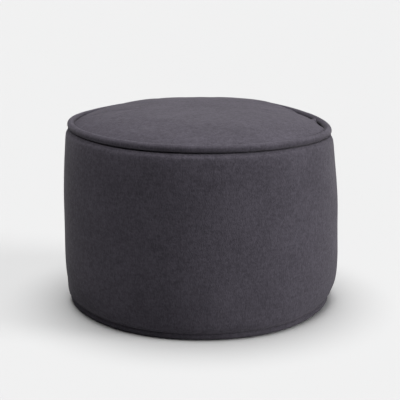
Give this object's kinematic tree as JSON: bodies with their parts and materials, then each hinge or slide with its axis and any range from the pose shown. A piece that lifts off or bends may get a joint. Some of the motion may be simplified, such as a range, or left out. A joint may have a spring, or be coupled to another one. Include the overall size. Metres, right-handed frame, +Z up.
{
  "type": "bean bag footstool",
  "caption": "Low round filled footstool in dark soft cloth, with a crowned top, a slightly bellied side and thick piping round its top and base seams.",
  "frame": {"origin": "centre of the bounding box's underside, on the floor under the middle of the stool", "axes": "+Z up through the seat, +X to the stool's right as seen from the front, front towards -Y"},
  "size_m": [0.5022, 0.5006, 0.355],
  "materials": {
    "cover": "short soft velour nap, matt with a faint sheen at grazing angles",
    "piping": "the same velour, wrapped round a cord"
  },
  "bodies": {
    "root": {"side_panel": "cover", "top_panel": "cover", "base_panel": "cover", "top_piping": "piping", "base_piping": "piping"}
  },
  "joints": []
}
